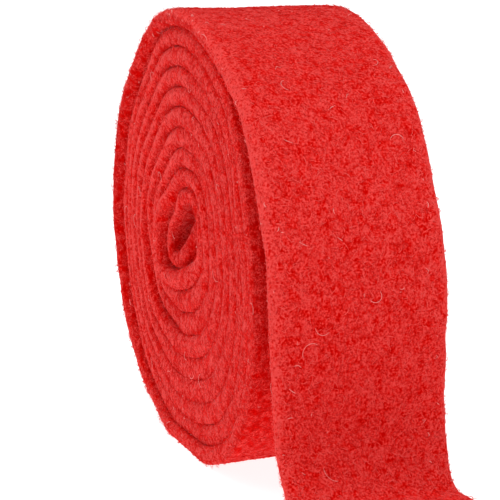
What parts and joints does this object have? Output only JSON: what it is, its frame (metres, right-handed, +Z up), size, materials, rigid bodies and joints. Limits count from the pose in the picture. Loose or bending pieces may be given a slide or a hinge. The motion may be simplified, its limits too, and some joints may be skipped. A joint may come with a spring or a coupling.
{
  "type": "roll of felt",
  "caption": "Thick felt strip wound into a roll on its side, with a loose end that hangs from the front and lies out on the floor.",
  "frame": {"origin": "middle of the part's outline seen from above, on the floor it stands on", "axes": "+Z up; Y along the roll's length, with the spiral that the picture shows at the -Y end; the loose end runs out towards +X"},
  "size_m": [0.1696, 0.048, 0.1009],
  "materials": {
    "felt": "matte, fuzzy"
  },
  "bodies": {
    "root": {"felt_roll": "felt", "loose_end": "felt"}
  },
  "joints": []
}
